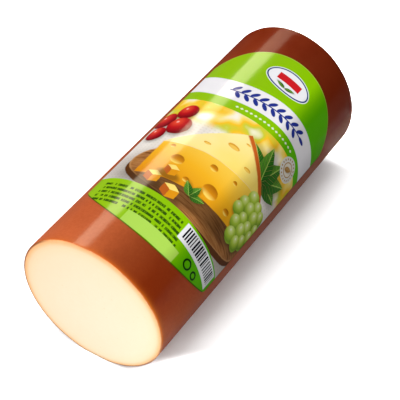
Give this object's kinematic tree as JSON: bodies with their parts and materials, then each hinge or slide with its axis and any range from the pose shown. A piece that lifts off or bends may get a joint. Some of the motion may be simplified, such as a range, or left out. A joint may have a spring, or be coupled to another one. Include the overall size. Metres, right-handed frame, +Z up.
{
  "type": "smoked cheese log",
  "caption": "Log of smoked cheese lying on its side: brown smoked rind, a pale cut end, a rounded whole end and a printed label on its upper side.",
  "frame": {"origin": "bottom centre of the part's box, on the surface that the log lies on", "axes": "+X along the log, from the cut end to the whole end; +Z up; the label leans from the top of the log towards -Y"},
  "size_m": [0.2474, 0.0996, 0.0984],
  "materials": {
    "smoked_rind": "smooth smoked cheese rind, satin gloss; the cut end shows pale cream cheese",
    "label_paper": "printed label, glossy, light green"
  },
  "bodies": {
    "root": {"cheese": "smoked_rind", "label": "label_paper"}
  },
  "joints": []
}
